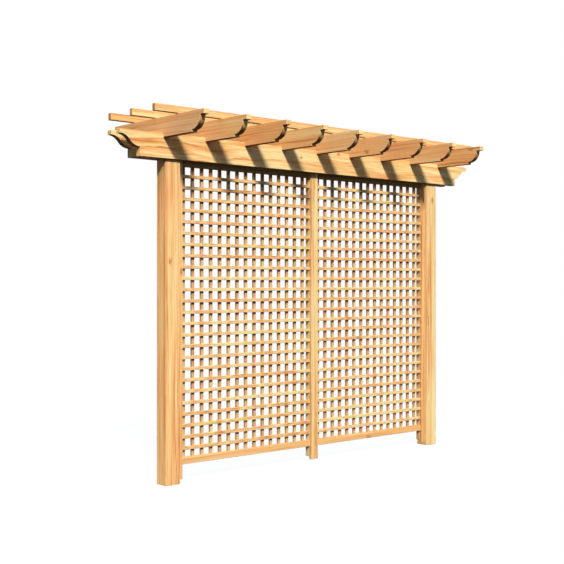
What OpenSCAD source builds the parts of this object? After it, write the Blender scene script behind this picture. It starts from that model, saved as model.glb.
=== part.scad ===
// Freestanding pergola wall in cedar. Two posts carry a pair of beams, a row of notched
// rafters with shaped tails lies across the beams, and three purlins lie along the rafters.
// The bay between the posts is closed by two trellis panels that meet at a centre batten.
// Millimetres, +Z up. The origin is the centre of the left post's foot, +X runs along the wall
// to the right post, and -Y is the front.

/* [Posts] */
// Width of a post along the wall
post_w = 99; // [80:1:130]
// Depth of a post, front to back
post_d = 89; // [76:1:120]
// Distance between the post centres
post_spacing = 2206; // [1800:1:2600]
// Height of the beams' underside above the ground
head_height = 1830; // [1600:1:2300]
// Depth of the housing in a post that each beam is let into
housing_depth = 19; // [10:0.5:24]

/* [Beams] */
// Thickness of a beam board
beam_t = 38; // [30:1:50]
// Depth of a beam board
beam_h = 140; // [125:1:190]
// Reach of the beams past the post centres
beam_reach = 360; // [260:1:480]
// Height of the plumb nose at a beam's end
beam_nose_h = 25; // [15:1:40]
// Length of the ogee under a beam's end
ogee_run = 128; // [100:1:170]
// Drop of the ogee under a beam's end
ogee_drop = 64; // [45:1:75]

/* [Rafters] */
// Number of rafters
rafter_count = 9; // [3:2:9]
// Distance between the rafter centres
rafter_spacing = 291; // [220:1:310]
// Thickness of a rafter
rafter_t = 38; // [28:1:45]
// Depth of a rafter
rafter_h = 114; // [105:1:140]
// Overall length of a rafter
rafter_length = 876; // [780:1:1200]
// Depth of the notches that sit over the beams
notch_depth = 23; // [10:0.5:35]
// Play on each side of a beam in its notch
notch_play = 0.5; // [0.2:0.1:2]
// Height of the plumb nose at a rafter's tip
tail_nose_h = 28; // [18:1:34]
// Flat step behind the nose
tail_step = 32; // [15:1:50]
// Radius of the quarter round under a tail
tail_r = 74; // [50:1:76]

/* [Purlins] */
// Depth of a purlin, front to back
purlin_t = 28; // [20:1:45]
// Height of a purlin
purlin_h = 40; // [25:1:60]
// Distance between neighbouring purlins, face to face
purlin_spacing = 222; // [160:1:300]
// How far the middle purlin's front face lies behind the wall's centre line
purlin_setback = 9; // [-30:1:30]
// Reach of the purlins past the outer rafters' centres
purlin_reach = 174; // [60:1:260]

/* [Infill frame] */
// Width of the stops along the posts
stop_w = 30.5; // [25:0.5:60]
// Thickness of the front stops and the front batten
front_stop_t = 19; // [12:1:25]
// Width of the centre battens
batten_w = 60; // [50:1:110]
// Height of the front stops and front batten above the ground
front_foot = 21; // [10:1:40]
// Height of the rear stops and rear batten above the ground
rear_foot = 38; // [10:1:70]
// How far the stops and battens run up between the beams
head_lap = 70; // [40:1:100]
// Height of a rail
rail_h = 38; // [30:1:60]
// Height of the bottom rails above the ground
bottom_rail_z = 103; // [75:1:200]
// Set back of the rails behind the faces of the stops
rail_setback = 8; // [1:0.5:9]
// Part of a top rail that shows below the beams
top_rail_drop = 30; // [20:1:36]

/* [Lattice] */
// Width of a slat
slat_w = 19; // [12:1:30]
// Thickness of a slat
slat_t = 15; // [6:0.5:20]
// How deep the two layers of slats are let into each other
slat_lap = 1; // [0.5:0.1:2]
// Set back of the lattice behind the faces of the stops
lattice_setback = 12; // [9:0.5:14]
// Distance between the upright slats
upright_pitch = 65.8; // [50:0.1:90]
// Distance between the level slats
level_pitch = 64.7; // [50:0.1:90]
// First upright slat's centre from a panel's left edge
first_upright = 26.5; // [16:0.5:50]
// First level slat's centre from the bottom rail
first_level = 51; // [20:0.5:70]

/* [Hidden] */
$fn = 96;
// Overshoot of a cut past the wood that it takes away
cut = 5;
cedar = [0.86, 0.62, 0.36];
cedar_pale = [0.91, 0.72, 0.45];
cedar_deep = [0.78, 0.52, 0.29];

wall_mid = post_spacing / 2;
beam_top = head_height + beam_h;
tongue_t = post_d - 2 * housing_depth;
beam_len = post_spacing + 2 * beam_reach;
rafter_z = beam_top - notch_depth;
rafter_top = rafter_z + rafter_h;
outer_rafter = rafter_spacing * (rafter_count - 1) / 2;
purlin_len = 2 * (outer_rafter + purlin_reach);

// The stops and battens fill the slot between the beams
infill_front = -tongue_t / 2;
rear_stop_t = tongue_t - front_stop_t;
rear_stop_front = infill_front + front_stop_t;
infill_top = head_height + head_lap;
lattice_front = infill_front + lattice_setback;
rail_t = tongue_t - 2 * rail_setback;
rail_front = infill_front + rail_setback;
bay_left = post_w / 2 + stop_w;
panel_w = wall_mid - batten_w / 2 - bay_left;
bay_right = wall_mid + batten_w / 2;
top_rail_z = head_height - top_rail_drop;
panel_z = bottom_rail_z + rail_h;
panel_h = top_rail_z - panel_z;
upright_count = 1 + floor((panel_w - first_upright - slat_w / 2) / upright_pitch);
level_count = 1 + floor((panel_h - first_level - slat_w / 2) / level_pitch);

RAFTERS = [for (i = [1:rafter_count]) str("rafter_", i)];

// A post with a housing on its front and its back, which leave a tongue between the beams
module post(x) {
    color(cedar)
    translate([x, 0, 0])
    difference() {
        translate([-post_w / 2, -post_d / 2, 0])
        cube([post_w, post_d, rafter_z]);
        for (side = [-1, 1])
            translate([0, side * (tongue_t + post_d) / 2, rafter_z])
            cube([post_w + 2 * cut, post_d, 2 * (rafter_z - head_height)], center = true);
    }
}

// What is cut from under a beam's end, drawn from the nose at x = 0 with the beam's top at y = 0.
// A cove under the nose runs into an equal round, and both are level where the ogee starts and ends.
module ogee_cut() {
    half_run = ogee_run / 2;
    half_drop = ogee_drop / 2;
    arc_r = (half_run * half_run + half_drop * half_drop) / (2 * half_drop);
    mid_y = -beam_nose_h - half_drop;
    low_y = -beam_h - cut;
    translate([-cut, low_y])
    square([cut + half_run, mid_y - low_y]);
    intersection() {
        translate([0, -beam_nose_h - arc_r])
        circle(arc_r);
        translate([-cut, mid_y])
        square([cut + half_run, half_drop]);
    }
    difference() {
        translate([half_run, low_y])
        square([half_run, mid_y - low_y]);
        translate([ogee_run, -beam_nose_h - ogee_drop + arc_r])
        circle(arc_r);
    }
}

// A beam board on edge between the rafters and the post housings, with its near face at y
module beam(y) {
    color(cedar_pale)
    translate([wall_mid, y + beam_t, beam_top])
    rotate([90, 0, 0])
    linear_extrude(beam_t)
    difference() {
        translate([-beam_len / 2, -beam_h])
        square([beam_len, beam_h]);
        for (end = [0, 1])
            mirror([end, 0])
            translate([-beam_len / 2, 0])
            ogee_cut();
    }
}

// What is cut from under a rafter's tail, from the tip at x = 0 with the rafter's top at y = 0
module tail_cut() {
    setback = tail_step + tail_r;
    difference() {
        translate([-cut, -rafter_h - cut])
        square([cut + setback, rafter_h + cut - tail_nose_h]);
        translate([setback, -tail_nose_h])
        circle(tail_r);
    }
}

// Side view of a rafter, front at the left, with its notches over the two beams
module rafter_outline() {
    notch_w = beam_t + 2 * notch_play;
    difference() {
        translate([-rafter_length / 2, -rafter_h])
        square([rafter_length, rafter_h]);
        for (end = [0, 1])
            mirror([end, 0]) {
                translate([-rafter_length / 2, 0])
                tail_cut();
                translate([-tongue_t / 2 - beam_t - notch_play, -rafter_h - cut])
                square([notch_w, cut + notch_depth]);
            }
    }
}

// Rafter number i, counted from the left
module rafter(i) {
    x = wall_mid - outer_rafter + (i - 1) * rafter_spacing;
    color(cedar_deep)
    translate([x - rafter_t / 2, 0, rafter_top])
    rotate([90, 0, 90])
    linear_extrude(rafter_t)
    rafter_outline();
}

// A purlin on the rafters, counted from the middle one
module purlin(i) {
    color(cedar_pale)
    translate([wall_mid - purlin_len / 2, purlin_setback + i * purlin_spacing, rafter_top])
    cube([purlin_len, purlin_t, purlin_h]);
}

// An upright board of the infill frame from its left edge at x and its front face at y
module upright(x, y, width, thickness, foot) {
    color(cedar)
    translate([x, y, foot])
    cube([width, thickness, infill_top - foot]);
}

module front_stop(x) {
    upright(x, infill_front, stop_w, front_stop_t, front_foot);
}

module rear_stop(x) {
    upright(x, rear_stop_front, stop_w, rear_stop_t, rear_foot);
}

module centre_front_batten() {
    upright(wall_mid - batten_w / 2, infill_front, batten_w, front_stop_t, front_foot);
}

module centre_rear_batten() {
    upright(wall_mid - batten_w / 2, rear_stop_front, batten_w, rear_stop_t, rear_foot);
}

// A rail across one bay
module rail(x, z) {
    color(cedar_pale)
    translate([x, rail_front, z])
    cube([panel_w, rail_t, rail_h]);
}

// One trellis panel: level slats in front, upright slats behind, joined where they cross
module lattice(x) {
    color(cedar_pale)
    translate([x, lattice_front, panel_z])
    union() {
        for (i = [0:level_count - 1])
            translate([0, 0, first_level + i * level_pitch - slat_w / 2])
            cube([panel_w, slat_t, slat_w]);
        for (i = [0:upright_count - 1])
            translate([first_upright + i * upright_pitch - slat_w / 2, slat_t - slat_lap, 0])
            cube([slat_w, slat_t, panel_h]);
    }
}

post(0);  // left_post
post(post_spacing);  // right_post
beam(-tongue_t / 2 - beam_t);  // front_beam
beam(tongue_t / 2);  // rear_beam
for (i = [1:rafter_count])
    rafter(i);
purlin(-1);  // front_purlin
purlin(0);  // middle_purlin
purlin(1);  // rear_purlin
front_stop(post_w / 2);  // left_front_stop
rear_stop(post_w / 2);  // left_rear_stop
front_stop(post_spacing - bay_left);  // right_front_stop
rear_stop(post_spacing - bay_left);  // right_rear_stop
centre_front_batten();
centre_rear_batten();
rail(bay_left, top_rail_z);  // left_top_rail
rail(bay_right, top_rail_z);  // right_top_rail
rail(bay_left, bottom_rail_z);  // left_bottom_rail
rail(bay_right, bottom_rail_z);  // right_bottom_rail
lattice(bay_left);  // left_lattice
lattice(bay_right);  // right_lattice
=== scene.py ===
import math
import random
from typing import NamedTuple

import bpy
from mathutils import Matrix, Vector


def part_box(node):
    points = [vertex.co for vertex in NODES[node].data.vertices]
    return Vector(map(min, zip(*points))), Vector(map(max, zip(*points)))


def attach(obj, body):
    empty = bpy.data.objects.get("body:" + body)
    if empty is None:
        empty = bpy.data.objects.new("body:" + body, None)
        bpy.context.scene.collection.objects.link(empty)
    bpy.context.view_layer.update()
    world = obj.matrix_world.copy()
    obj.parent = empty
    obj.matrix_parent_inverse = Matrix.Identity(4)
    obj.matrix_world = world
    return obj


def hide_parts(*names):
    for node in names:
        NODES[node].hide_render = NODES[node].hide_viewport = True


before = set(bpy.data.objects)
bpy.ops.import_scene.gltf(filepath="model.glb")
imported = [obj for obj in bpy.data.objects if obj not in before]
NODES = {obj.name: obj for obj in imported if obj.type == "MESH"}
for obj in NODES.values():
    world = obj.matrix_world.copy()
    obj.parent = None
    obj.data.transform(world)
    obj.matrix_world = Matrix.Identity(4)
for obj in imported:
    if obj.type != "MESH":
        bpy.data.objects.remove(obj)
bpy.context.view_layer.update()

WHITE = (1.0, 1.0, 1.0)


class Lamp(NamedTuple):
    """A far lamp: the way its light travels, its strength, its spread in degrees and its colour."""

    travel: tuple
    strength: float
    spread: float
    colour: tuple = WHITE


class Layer(NamedTuple):
    """A layer of noise in the wood: cells to a metre along and across the grain, and its weight."""

    along: float
    across: float
    detail: float
    roughness: float
    shift: tuple
    weight: float


class Look(NamedTuple):
    """How one kind of board looks. A tone above 0 is darker, and a tint above 0 is pinker."""

    tone: float
    tint: float
    contrast: float
    shortness: float
    fineness: float
    end_grain: tuple


class SlatLook(NamedTuple):
    """How one set of slats looks, with the painted shade that their left faces add to the tone."""

    tone: float
    left_face_shade: float
    mute: float
    painted_shade: float


# Camera, fitted to the photograph: metres in the part's frame, focal length in pixels, degrees
IMAGE_SIZE = 564
FOCAL_PX = 1030.927
CAMERA_PLACE = (-3.3501, -4.8082, 1.1419)
CAMERA_YAW = 41.15
SENSOR_MM = 36.0

# Light
SUN = Lamp((0.57, 1.0, -0.87), 5.4, 8.0)
SIDE_FILL = Lamp((1.0, 0.35, -0.95), 1.05, 15.0, (1.0, 0.66, 0.40))
SIDE_LIT = ("left_post", "front_beam")
REAR_FILL = Lamp((-0.12, -1.0, -0.35), 1.6, 30.0)
RIGHT_FILL = Lamp((-1.0, -0.15, -0.35), 1.5, 30.0)
AMBIENT = (0.240, 0.390, 0.590)
FLOOR_SIZE = 120.0
FLOOR_BOUNCE = (0.02, 0.02, 0.02)
FLOOR_GLOW = 0.94
FLOOR_SHADE = (0.05, 0.05, 0.05)

# Eased edges of the boards
EASE = 0.0022
EASE_STEPS = 2
WELD_GAP = 0.00001
FLAT_ANGLE = math.radians(0.5)
EDGE_ANGLE = math.radians(28)

# The trellis slats, set out as in the part
SLAT_W = 0.019
SLAT_T = 0.015
SLAT_LAP = 0.001
SLAT_EASE = 0.0011
UPRIGHT_PITCH = 0.0658
LEVEL_PITCH = 0.0647
FIRST_UPRIGHT = 0.0265
FIRST_LEVEL = 0.051

# Cedar, linear colours, and how deep in the figure each lies
CEDAR_RAMP = (
    (0.10, (0.700, 0.545, 0.250)),
    (0.42, (0.685, 0.410, 0.160)),
    (0.72, (0.655, 0.314, 0.103)),
    (1.00, (0.420, 0.165, 0.050)),
)
CEDAR_MUTED = (0.420, 0.300, 0.165)
KNOT_HEART = (0.420, 0.200, 0.070)
# What painted shade multiplies the colour by, under the boards and on the slats
PAINTED_UNDERSIDE_SHADE = (0.21, 0.16, 0.12)
SLAT_PAINTED_SHADE = (0.36, 0.13, 0.045)
# What end grain multiplies the colour by
END_DARK = (0.70, 0.43, 0.28)
END_MIDDLE = (0.74, 0.57, 0.48)
END_LIKE_FACE = (0.96, 0.79, 0.64)
END_PALE = (1.10, 1.40, 1.55)
# How far back from a rafter's tip its end grain is pale, on the plumb nose alone
NOSE_DEPTH = 0.010
# Patches of another tint: where each starts, where it is full, and what it multiplies the colour by
PATCHES = (
    (0.0, 0.7, (1.0, 0.86, 0.92)),
    (0.5, 1.0, (0.95, 0.82, 0.85)),
    (0.0, -0.7, (1.0, 1.05, 0.92)),
    (-0.5, -1.0, (0.84, 0.92, 0.70)),
)
PATCH_CELLS = (1.6, 6.0)

# The figure of the wood, which bends a little from side to side
LAYERS = {
    "broad": Layer(0.45, 24.0, 1.0, 0.5, (0.0, 0.0, 0.0), 0.9),
    "streak": Layer(0.9, 85.0, 3.0, 0.6, (3.1, 1.7, 0.4), 1.35),
    "line": Layer(0.8, 210.0, 2.0, 0.5, (7.3, 0.9, 2.6), 0.75),
    "fibre": Layer(9.0, 900.0, 2.0, 0.6, (0.0, 0.0, 0.0), 0.25),
}
MIDDLE_DEPTH = 0.42
BEND_CELLS = (1.3, 5.0)
BEND = 0.016
RING_SCALE = 30.0
RING_DISTORTION = 2.2
RING_DETAIL = 2.0
RING_SLANT = 0.12
RING_WEIGHT = 0.28

# The surface of the wood
ROUGHNESS = 0.56
GRAIN_ROUGHNESS = 0.10
FIBRE_HEIGHT = 0.6
RING_HEIGHT = 0.4
BUMP_STRENGTH = 0.5
BUMP_DEPTH = 0.0008
SPECULAR = 0.05

# How far a face has to turn: where a change of colour starts, and where it is full. Facing down brings
# painted shade
PAINTED_SHADE_FACING_DOWN = (-0.25, -0.85)
FACING_END = (0.8, 0.97)
# Fronts that face this way take the painted shadow on the uprights
FACING_FRONT = (-0.3, -0.7)

LOOKS = {
    "post": Look(0.07, 0.10, 1.25, 1.8, 1.0, END_DARK),
    "beam": Look(-0.11, 0.03, 1.5, 2.2, 0.55, END_LIKE_FACE),
    "rafter": Look(0.18, 0.27, 0.80, 1.2, 0.65, END_PALE),
    "purlin": Look(0.12, 0.0, 1.0, 1.8, 1.0, END_MIDDLE),
    # The top rails' dark olive tone is painted shade, for the beams above them
    "top_rail": Look(0.25, -0.5, 0.8, 1.3, 1.0, END_DARK),
    "rail": Look(0.04, 0.05, 0.9, 1.3, 1.0, END_DARK),
    "stop": Look(0.08, 0.10, 1.4, 1.4, 1.0, END_DARK),
    "batten": Look(0.02, 0.10, 1.6, 1.6, 0.8, END_DARK),
}

# Boards whose figure was chosen; the others take theirs from their place in the sorted list
FIGURE_SEEDS = {"left_post": 17, "right_post": 31, "front_beam": 5}
FIRST_BOARD_SEED = 11
# What chance adds to each board: shift of the figure, distance of the pith, tone and tint
FIGURE_SHIFT = 9.0
PITH_REACH = (0.06, 0.14)
TONE_SPREAD = 0.03
TINT_SPREAD = 0.12
# Boards that are darker or paler than others of their kind
OWN_TONES = {
    "right_post": -0.07,
    "front_purlin": -0.01,
    "middle_purlin": -0.22,
    "rear_purlin": -0.02,
    "rafter_1": -0.05,
    "rafter_2": -0.13,
    "rafter_3": 0.07,
    "rafter_5": -0.20,
    "rafter_6": -0.07,
    "rafter_8": -0.11,
    "rafter_9": 0.19,
    "right_front_stop": 0.05,
    "centre_front_batten": -0.03,
}
# Boards that are more pink, or below 0 more olive, than others of their kind
OWN_TINTS = {"rafter_1": 0.15, "right_front_stop": -0.15}
# Boards given painted shade for the beams above them, and how deep it is
PAINTED_SHADE_BOARDS = {"left_top_rail": 0.6, "right_top_rail": 0.6}

# Level slats, and upright ones, which are darker and more muted, with painted shade on their left faces
# and painted shadow on their fronts
LEVEL_LOOK = SlatLook(0.0, 0.0, 0.06, 0.0)
UPRIGHT_LOOK = SlatLook(0.16, 0.30, 0.45, 0.75)
# What each slat has of its own, kept as mesh attributes
SLAT_LOOKS = ("tone", "tint", "mute", "painted_shade")
SLAT_TONE_SPREAD = 0.10
SLAT_TINT = 0.05
SLAT_TINT_SPREAD = 0.26
SLAT_CONTRAST = 1.2
SLAT_PATCHES = 3.2
# How much shorter the figure is on a slat than in the wood's own layers
SLAT_SHORTNESS = 17.0
FIRST_PANEL_SEED = 71
# Painted shadow: a dark strip on an upright's front, in the corner under each level slat
PAINTED_SHADOW_DROP = 0.0115
PAINTED_SHADOW_FADE = 0.003
# How far down from its top an upright gets painted shade from the beams
PAINTED_SHADE_TOP = 0.042
PAINTED_SHADE_TOP_FADE = 0.02

# Knots on the boards' faces: place in the part's frame and half width, metres
KNOTS = {
    "left_post": (((-0.021, -0.0445, 1.258), 0.009),),
    "right_post": (((2.217, -0.0445, 1.714), 0.011),),
    "left_front_stop": (((0.069, -0.0255, 1.199), 0.009),),
    "front_beam": (((1.278, -0.0635, 1.962), 0.009), ((0.956, -0.0635, 1.915), 0.007)),
    "rafter_6": (((1.375, -0.222, 1.970), 0.009),),
    "rafter_9": (((2.248, -0.359, 2.050), 0.009),),
    "right_bottom_rail": (((1.602, -0.0175, 0.110), 0.008),),
}
KNOT_STRETCH = 1.6
KNOT_EDGE_CELLS = (60.0, 160.0)
# In half widths: where a knot's halo and its heart start and are full, and how far away no knot is
KNOT_HALO = (2.3, 0.9)
KNOT_CORE = (1.15, 0.5)
KNOT_DARKENS = 0.30
NO_KNOT = 10.0


def rgba(colour):
    """A colour with full alpha."""
    return (*colour, 1.0)


class Graph:
    """A node tree with short ways to add nodes. An input takes a socket or a constant."""

    def __init__(self, tree):
        self.tree = tree

    def feed(self, socket, value):
        if isinstance(value, bpy.types.NodeSocket):
            self.tree.links.new(value, socket)
        else:
            socket.default_value = value

    def node(self, kind, inputs=None, **settings):
        made = self.tree.nodes.new(kind)
        for name, value in settings.items():
            setattr(made, name, value)
        for key, value in (inputs or {}).items():
            self.feed(made.inputs[key], value)
        return made

    def math(self, operation, *values, clamp=False):
        inputs = dict(enumerate(values))
        return self.node("ShaderNodeMath", inputs, operation=operation, use_clamp=clamp).outputs[0]

    def vector(self, operation, *values):
        inputs = dict(enumerate(values))
        return self.node("ShaderNodeVectorMath", inputs, operation=operation).outputs[0]

    def length(self, vector):
        return self.node("ShaderNodeVectorMath", {0: vector}, operation="LENGTH").outputs["Value"]

    def split(self, vector):
        """The vector's X, Y and Z, by name or number."""
        return self.node("ShaderNodeSeparateXYZ", {"Vector": vector}).outputs

    def noise(self, place, cells, detail=2.0, roughness=0.5, colour=False):
        """Noise with as many cells to a metre along and across the grain as cells says."""
        along, across = cells
        scaled = self.vector("MULTIPLY", place, (along, across, across))
        made = self.node(
            "ShaderNodeTexNoise",
            {"Vector": scaled, "Scale": 1.0, "Detail": detail, "Roughness": roughness},
        )
        return made.outputs["Color" if colour else "Fac"]

    def ease(self, value, low, high, to_low=0.0, to_high=1.0):
        """A smooth step from to_low at low to to_high at high."""
        made = self.node(
            "ShaderNodeMapRange",
            {"Value": value, "From Min": low, "From Max": high, "To Min": to_low, "To Max": to_high},
            interpolation_type="SMOOTHSTEP",
        )
        return made.outputs["Result"]

    def ramp(self, value, stops):
        made = self.node("ShaderNodeValToRGB", {"Fac": value})
        points = made.color_ramp.elements
        while len(points) < len(stops):
            points.new(0.5)
        for point, (place, colour) in zip(points, stops):
            point.position = place
            point.color = rgba(colour)
        return made.outputs["Color"]

    def mix(self, share, first, second, blend="MIX"):
        """Two colours mixed. Sockets go by number: the node has each name once for every type."""
        made = self.node("ShaderNodeMix", data_type="RGBA", blend_type=blend)
        for socket, value in ((0, share), (6, first), (7, second)):
            self.feed(made.inputs[socket], value)
        return made.outputs[2]

    def tinted(self, share, colour, tint):
        """A colour multiplied by the tint, as far as the share says."""
        return self.mix(share, colour, self.mix(1.0, colour, tint, "MULTIPLY"))


def new_material(name):
    made = bpy.data.materials.new(name)
    made.use_nodes = True
    made.node_tree.nodes.clear()
    return made, Graph(made.node_tree)


def cedar_sockets(tree):
    """What the cedar group is given, and what it gives."""
    floats = ("Tone", "Tint", "Contrast", "Patches", "End", "Knot", "Mute", "Under")
    for in_out, kind, names in (
        ("INPUT", "NodeSocketVector", ("Grain", "Pith")),
        ("INPUT", "NodeSocketColor", ("End Grain", "Shade")),
        ("INPUT", "NodeSocketFloat", floats),
        ("OUTPUT", "NodeSocketColor", ("Color",)),
        ("OUTPUT", "NodeSocketFloat", ("Roughness", "Height")),
    ):
        for name in names:
            tree.interface.new_socket(name, in_out=in_out, socket_type=kind)


def cedar_fields(g, place, pith):
    """The layers of the figure and the growth rings by name, each from 0 to 1."""
    sway = g.noise(place, BEND_CELLS, detail=1.0, colour=True)
    sway = g.vector("MULTIPLY", g.vector("SUBTRACT", sway, (0.5, 0.5, 0.5)), (0.0, BEND, BEND))
    bent = g.vector("ADD", place, sway)
    fields = {}
    for name, layer in LAYERS.items():
        shifted = g.vector("ADD", bent, layer.shift)
        fields[name] = g.noise(shifted, (layer.along, layer.across), layer.detail, layer.roughness)
    around = g.vector("MULTIPLY", g.vector("SUBTRACT", bent, pith), (RING_SLANT, 1.0, 1.0))
    fields["ring"] = g.node(
        "ShaderNodeTexWave",
        {
            "Vector": around, "Scale": RING_SCALE, "Distortion": RING_DISTORTION,
            "Detail": RING_DETAIL, "Detail Scale": 1.0,
        },
        wave_type="RINGS", rings_direction="X", wave_profile="SAW",
    ).outputs["Fac"]
    return fields


def cedar_colour(g, given, fields):
    """Pale to brown by the figure, then knots, patches, muted slats, end grain and painted shade."""
    weights = {name: layer.weight for name, layer in LAYERS.items()}
    weights["ring"] = RING_WEIGHT
    total = 0.0
    for name, weight in weights.items():
        total = g.math("MULTIPLY_ADD", g.math("SUBTRACT", fields[name], 0.5), weight, total)
    depth = g.math("MULTIPLY_ADD", total, given["Contrast"], MIDDLE_DEPTH)
    depth = g.math("ADD", depth, given["Tone"])

    ragged = g.math("SUBTRACT", g.noise(given["Grain"], KNOT_EDGE_CELLS), 0.5)
    knot = g.math("ADD", given["Knot"], ragged)
    depth = g.math("ADD", depth, g.ease(knot, *KNOT_HALO, 0.0, KNOT_DARKENS), clamp=True)
    colour = g.ramp(depth, CEDAR_RAMP)
    colour = g.mix(g.ease(knot, *KNOT_CORE), colour, rgba(KNOT_HEART))

    patch = g.math("SUBTRACT", g.noise(given["Grain"], PATCH_CELLS, detail=1.0), 0.5)
    patch = g.math("MULTIPLY_ADD", patch, given["Patches"], given["Tint"])
    for start, full, tint in PATCHES:
        colour = g.tinted(g.ease(patch, start, full), colour, rgba(tint))
    colour = g.mix(given["Mute"], colour, rgba(CEDAR_MUTED))
    colour = g.tinted(given["End"], colour, given["End Grain"])
    return g.tinted(given["Under"], colour, given["Shade"])


def cedar_group():
    """Cedar as a node group. It is given a place in metres, with x along the grain."""
    tree = bpy.data.node_groups.new("cedar", "ShaderNodeTree")
    cedar_sockets(tree)
    g = Graph(tree)
    given = g.node("NodeGroupInput").outputs
    fields = cedar_fields(g, given["Grain"], given["Pith"])
    fibre, ring = fields["fibre"], fields["ring"]
    rough = g.math("MULTIPLY_ADD", g.math("ADD", fibre, ring), GRAIN_ROUGHNESS, ROUGHNESS)
    height = g.math("MULTIPLY_ADD", fibre, FIBRE_HEIGHT, g.math("MULTIPLY", ring, RING_HEIGHT))
    colour = cedar_colour(g, given, fields)
    g.node("NodeGroupOutput", {"Color": colour, "Roughness": rough, "Height": height})
    return tree


CEDAR = cedar_group()


def cedar_surface(g, given, painted_shade, shade):
    """The shader of a cedar piece, from what the cedar group is given to the material's output."""
    normal = g.node("ShaderNodeNewGeometry").outputs["Normal"]
    # Painted shade on faces turned down, and wherever the caller asks for it
    under = g.math("MAXIMUM", painted_shade, g.ease(g.split(normal)["Z"], *PAINTED_SHADE_FACING_DOWN))
    given = {**given, "Under": under, "Shade": rgba(shade)}
    wood = g.node("ShaderNodeGroup", given, node_tree=CEDAR).outputs
    bump = g.node(
        "ShaderNodeBump",
        {"Strength": BUMP_STRENGTH, "Distance": BUMP_DEPTH, "Height": wood["Height"]},
    )
    shader = g.node("ShaderNodeBsdfPrincipled", {
        "Base Color": wood["Color"],
        "Roughness": wood["Roughness"],
        "Specular IOR Level": SPECULAR,
        "Normal": bump.outputs["Normal"],
    })
    g.node("ShaderNodeOutputMaterial", {"Surface": shader.outputs["BSDF"]})


def grain_order(name):
    """The frame's axes as numbers, with the one that the board's grain follows first."""
    if "rafter" in name:
        return (1, 2, 0)
    if any(word in name for word in ("beam", "purlin", "rail")):
        return (0, 1, 2)
    return (2, 0, 1)


def knot_field(g, turned, order, knots):
    """How far a place is from the nearest knot, in half widths of the knot."""
    nearest = NO_KNOT
    for centre, half_width in knots:
        across = 1.0 / half_width
        away = g.vector("SUBTRACT", turned, tuple(centre[axis] for axis in order))
        away = g.vector("MULTIPLY", away, (across / KNOT_STRETCH, across, across))
        nearest = g.math("MINIMUM", nearest, g.length(away))
    return nearest


def nose_field(g, place, low, high):
    """1 on the plumb noses at a rafter's two tips, 0 between them."""
    tip = (high - low) / 2
    from_middle = g.math("ABSOLUTE", g.math("SUBTRACT", place, (low + high) / 2))
    return g.ease(from_middle, tip - NOSE_DEPTH, tip - NOSE_DEPTH / 2)


def board_material(name, look, rng):
    """Cedar for one board, with its own figure, tone and tint."""
    made, g = new_material("cedar_" + name)
    order = grain_order(name)
    low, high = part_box(name)
    middle = (low + high) / 2
    shift = tuple(rng.uniform(-FIGURE_SHIFT, FIGURE_SHIFT) for _ in range(3))
    angle = rng.uniform(0.0, 2 * math.pi)
    reach = rng.uniform(*PITH_REACH)
    tone = look.tone + OWN_TONES.get(name, 0.0) + rng.uniform(-TONE_SPREAD, TONE_SPREAD)
    tint = look.tint + OWN_TINTS.get(name, 0.0) + rng.uniform(-TINT_SPREAD, TINT_SPREAD)

    spot = g.node("ShaderNodeTexCoord").outputs
    place = g.split(spot["Object"])
    turned = g.node("ShaderNodeCombineXYZ", {i: place[axis] for i, axis in enumerate(order)}).outputs[0]
    scaled = g.vector("MULTIPLY", turned, (look.shortness, look.fineness, look.fineness))
    pith = (
        0.0,
        look.fineness * middle[order[1]] + shift[1] + reach * math.cos(angle),
        look.fineness * middle[order[2]] + shift[2] + reach * math.sin(angle),
    )
    end = g.ease(g.math("ABSOLUTE", g.split(spot["Normal"])[order[0]]), *FACING_END)
    if "rafter" in name:
        end = g.math("MULTIPLY", end, nose_field(g, place["Y"], low.y, high.y))
    given = {
        "Grain": g.vector("ADD", scaled, shift),
        "Pith": pith,
        "Tone": tone,
        "Tint": tint,
        "Contrast": look.contrast,
        "Patches": look.contrast,
        "End": end,
        "End Grain": rgba(look.end_grain),
        "Knot": knot_field(g, turned, order, KNOTS.get(name, ())),
        "Mute": 0.0,
    }
    cedar_surface(g, given, PAINTED_SHADE_BOARDS.get(name, 0.0), PAINTED_UNDERSIDE_SHADE)
    return made


def ease_edges(board):
    """Softens a board's corners without touching its own mesh."""
    weld = board.modifiers.new("weld", "WELD")
    weld.merge_threshold = WELD_GAP
    flat = board.modifiers.new("flat", "DECIMATE")
    flat.decimate_type = "DISSOLVE"
    flat.angle_limit = FLAT_ANGLE
    bevel = board.modifiers.new("ease", "BEVEL")
    bevel.width = EASE
    bevel.segments = EASE_STEPS
    bevel.limit_method = "ANGLE"
    bevel.angle_limit = EDGE_ANGLE
    bevel.harden_normals = True


def finish_boards():
    """Cedar and eased edges on every board. As in the photograph, the purlins throw no shadow."""
    for index, name in enumerate(sorted(NODES)):
        if "lattice" in name:
            continue
        rng = random.Random(FIGURE_SEEDS.get(name, index + FIRST_BOARD_SEED))
        look = next(LOOKS[kind] for kind in LOOKS if kind in name)
        board = NODES[name]
        board.material_slots[0].material = board_material(name, look, rng)
        ease_edges(board)
        if "purlin" in name:
            board.visible_shadow = False


def slat_ring():
    """Corner points of a slat's eased section, about its centre."""
    e = SLAT_EASE
    half_w = SLAT_W / 2
    half_t = SLAT_T / 2
    return [
        (-half_w + e, -half_t), (half_w - e, -half_t), (half_w, -half_t + e), (half_w, half_t - e),
        (half_w - e, half_t), (-half_w + e, half_t), (-half_w, half_t - e), (-half_w, -half_t + e),
    ]


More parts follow.
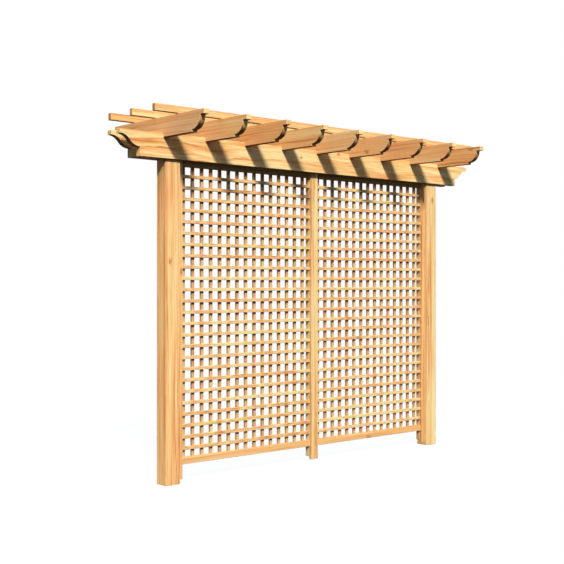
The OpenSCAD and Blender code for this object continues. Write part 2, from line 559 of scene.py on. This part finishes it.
def add_slat(mesh, start, length, along_x, look, rng):
    """One slat from the centre of its end, with its own place in the grain, tone and tint."""
    ring = slat_ring()
    shift = [rng.uniform(-FIGURE_SHIFT, FIGURE_SHIFT) for _ in range(3)]
    tone = look.tone + rng.gauss(0.0, SLAT_TONE_SPREAD)
    tint = rng.gauss(SLAT_TINT, SLAT_TINT_SPREAD)
    first = len(mesh["points"])
    for step in (0.0, length):
        for across, deep in ring:
            if along_x:
                point = (start[0] + step, start[1] + deep, start[2] + across)
            else:
                point = (start[0] + across, start[1] + deep, start[2] + step)
            mesh["points"].append(point)
            mesh["grain"].append((step * SLAT_SHORTNESS + shift[0], across + shift[1], deep + shift[2]))
            # An upright's left face gets painted shade, added to its tone
            mesh["tone"].append(tone + (look.left_face_shade if across == -SLAT_W / 2 else 0.0))
            mesh["tint"].append(tint)
            mesh["mute"].append(look.mute)
            mesh["painted_shade"].append(look.painted_shade)
    count = len(ring)
    near = tuple(range(first, first + count))
    far = tuple(range(first + count, first + 2 * count))
    faces = [(near[i - 1], near[i], far[i], far[i - 1]) for i in range(count)]
    faces += [near[::-1], far]
    mesh["faces"] += [face[::-1] for face in faces] if along_x else faces


def trellis_mesh(low, high, rng):
    """A panel's slats between two corners of its box: level ones in front, upright ones behind."""
    mesh = {part: [] for part in ("points", "faces", "grain", *SLAT_LOOKS)}
    wide = high.x - low.x
    tall = high.z - low.z
    level_y = low.y + SLAT_T / 2
    upright_y = low.y + SLAT_T - SLAT_LAP + SLAT_T / 2
    level_count = 1 + int((tall - FIRST_LEVEL - SLAT_W / 2) / LEVEL_PITCH)
    upright_count = 1 + int((wide - FIRST_UPRIGHT - SLAT_W / 2) / UPRIGHT_PITCH)
    for i in range(level_count):
        start = (low.x, level_y, low.z + FIRST_LEVEL + i * LEVEL_PITCH)
        add_slat(mesh, start, wide, True, LEVEL_LOOK, rng)
    for i in range(upright_count):
        start = (low.x + FIRST_UPRIGHT + i * UPRIGHT_PITCH, upright_y, low.z)
        add_slat(mesh, start, tall, False, UPRIGHT_LOOK, rng)
    return mesh


def trellis(side, material, rng):
    """One panel of eased slats in place of the plain lattice."""
    mesh = trellis_mesh(*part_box(side + "_lattice"), rng)
    data = bpy.data.meshes.new(side + "_trellis")
    data.from_pydata(mesh["points"], [], mesh["faces"])
    grain = data.attributes.new("grain", "FLOAT_VECTOR", "POINT")
    grain.data.foreach_set("vector", [value for place in mesh["grain"] for value in place])
    for name in SLAT_LOOKS:
        data.attributes.new(name, "FLOAT", "POINT").data.foreach_set("value", mesh[name])
    data.materials.append(material)
    panel = bpy.data.objects.new(side + "_trellis", data)
    bpy.context.scene.collection.objects.link(panel)
    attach(panel, "root")
    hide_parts(side + "_lattice")


def painted_shadow_field(g, depth):
    """Painted shadow on an upright's front, from 0 to the depth: a strip under each level slat, and a
    band at the top under the beams.
    """
    spot = g.node("ShaderNodeTexCoord").outputs
    height = g.split(spot["Object"])["Z"]
    low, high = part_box("left_lattice")
    levels = g.math("DIVIDE", g.math("SUBTRACT", height, low.z + FIRST_LEVEL), LEVEL_PITCH)
    edge = 1.0 - (SLAT_W / 2 + PAINTED_SHADOW_DROP) / LEVEL_PITCH
    strip = g.ease(g.math("FRACT", levels), edge - PAINTED_SHADOW_FADE / LEVEL_PITCH, edge)
    top = high.z - PAINTED_SHADE_TOP
    strip = g.math("MAXIMUM", strip, g.ease(height, top - PAINTED_SHADE_TOP_FADE, top))
    front = g.ease(g.split(spot["Normal"])["Y"], *FACING_FRONT)
    return g.math("MULTIPLY", g.math("MULTIPLY", strip, depth), front)


def trellis_material():
    """Cedar that takes its place in the grain, tone, tint, muting and painted shadow from each slat."""
    made, g = new_material("cedar_slats")
    grain = g.node("ShaderNodeAttribute", attribute_name="grain").outputs["Vector"]
    own = {
        name: g.node("ShaderNodeAttribute", attribute_name=name).outputs["Fac"]
        for name in SLAT_LOOKS
    }
    given = {
        "Grain": grain,
        "Pith": (0.0, 0.0, 0.0),
        "Tone": own["tone"],
        "Tint": own["tint"],
        "Contrast": SLAT_CONTRAST,
        "Patches": SLAT_PATCHES,
        "End": 0.0,
        "End Grain": rgba(END_DARK),
        "Knot": NO_KNOT,
        "Mute": own["mute"],
    }
    cedar_surface(g, given, painted_shadow_field(g, own["painted_shade"]), SLAT_PAINTED_SHADE)
    return made


def add_trellis():
    material = trellis_material()
    for index, side in enumerate(("left", "right")):
        trellis(side, material, random.Random(index + FIRST_PANEL_SEED))


def add_camera():
    data = bpy.data.cameras.new("camera")
    data.sensor_width = SENSOR_MM
    data.lens = FOCAL_PX * SENSOR_MM / IMAGE_SIZE
    camera = bpy.data.objects.new("camera", data)
    camera.location = CAMERA_PLACE
    camera.rotation_euler = (math.radians(90), 0.0, math.radians(-CAMERA_YAW))
    bpy.context.scene.collection.objects.link(camera)
    bpy.context.scene.camera = camera


def link_set(name, words, state):
    """The boards whose names hold one of the words, as a set that a lamp includes or leaves out."""
    made = bpy.data.collections.new(name)
    for board in sorted(NODES):
        if any(word in board for word in words):
            made.objects.link(NODES[board])
    for entry in made.collection_objects:
        entry.light_linking.link_state = state
    return made


def add_lamp(name, lamp):
    """A lamp in the scene, and what it is linked to."""
    data = bpy.data.lights.new(name, "SUN")
    data.energy = lamp.strength
    data.angle = math.radians(lamp.spread)
    data.color = lamp.colour
    made = bpy.data.objects.new(name, data)
    made.rotation_euler = Vector(lamp.travel).to_track_quat("-Z", "Y").to_euler()
    bpy.context.scene.collection.objects.link(made)
    return made.light_linking


def add_main_light():
    """The sun. As in the photograph, the rafters and stops throw no shadow on the posts."""
    links = add_lamp("sun", SUN)
    links.receiver_collection = link_set("not_posts", ("post",), "EXCLUDE")
    links = add_lamp("post_sun", SUN)
    links.receiver_collection = link_set("posts", ("post",), "INCLUDE")
    links.blocker_collection = link_set("not_shading_posts", ("rafter", "stop"), "EXCLUDE")


def add_fills():
    """Weak light from the left on two boards, and from behind and from the right on all."""
    links = add_lamp("side_fill", SIDE_FILL)
    links.receiver_collection = link_set("side_lit", SIDE_LIT, "INCLUDE")
    add_lamp("rear_fill", REAR_FILL)
    add_lamp("right_fill", RIGHT_FILL)


def seen_directly(g):
    """1 for camera, mirror and see-through rays, 0 for the rays that light the object."""
    ray = g.node("ShaderNodeLightPath").outputs
    either = g.math("MAXIMUM", ray["Is Camera Ray"], ray["Is Glossy Ray"])
    return g.math("MAXIMUM", either, ray["Is Transmission Ray"])


def add_world():
    """White behind the object, and a dim even sky that lights it."""
    world = bpy.data.worlds.new("studio")
    bpy.context.scene.world = world
    world.use_nodes = True
    world.node_tree.nodes.clear()
    g = Graph(world.node_tree)
    colour = g.mix(seen_directly(g), rgba(AMBIENT), rgba(WHITE))
    sky = g.node("ShaderNodeBackground", {"Color": colour, "Strength": 1.0})
    g.node("ShaderNodeOutputWorld", {"Surface": sky.outputs[0]})


def add_floor():
    """A white floor that keeps the object's shadow and throws little light back."""
    half = FLOOR_SIZE / 2
    corners = [(-half, -half, 0), (half, -half, 0), (half, half, 0), (-half, half, 0)]
    data = bpy.data.meshes.new("floor")
    data.from_pydata(corners, [], [(0, 1, 2, 3)])
    made, g = new_material("floor")
    glow = g.node("ShaderNodeEmission", {"Color": rgba(WHITE), "Strength": FLOOR_GLOW})
    shade = g.node("ShaderNodeBsdfDiffuse", {"Color": rgba(FLOOR_SHADE)})
    white = g.node("ShaderNodeAddShader", {0: glow.outputs[0], 1: shade.outputs[0]})
    bounce = g.node("ShaderNodeBsdfDiffuse", {"Color": rgba(FLOOR_BOUNCE)})
    both = {0: seen_directly(g), 1: bounce.outputs[0], 2: white.outputs[0]}
    g.node("ShaderNodeOutputMaterial", {"Surface": g.node("ShaderNodeMixShader", both).outputs[0]})
    data.materials.append(made)
    floor = bpy.data.objects.new("floor", data)
    bpy.context.scene.collection.objects.link(floor)


bpy.context.scene.view_settings.view_transform = "Standard"
add_camera()
add_main_light()
add_fills()
add_world()
add_floor()
finish_boards()
add_trellis()
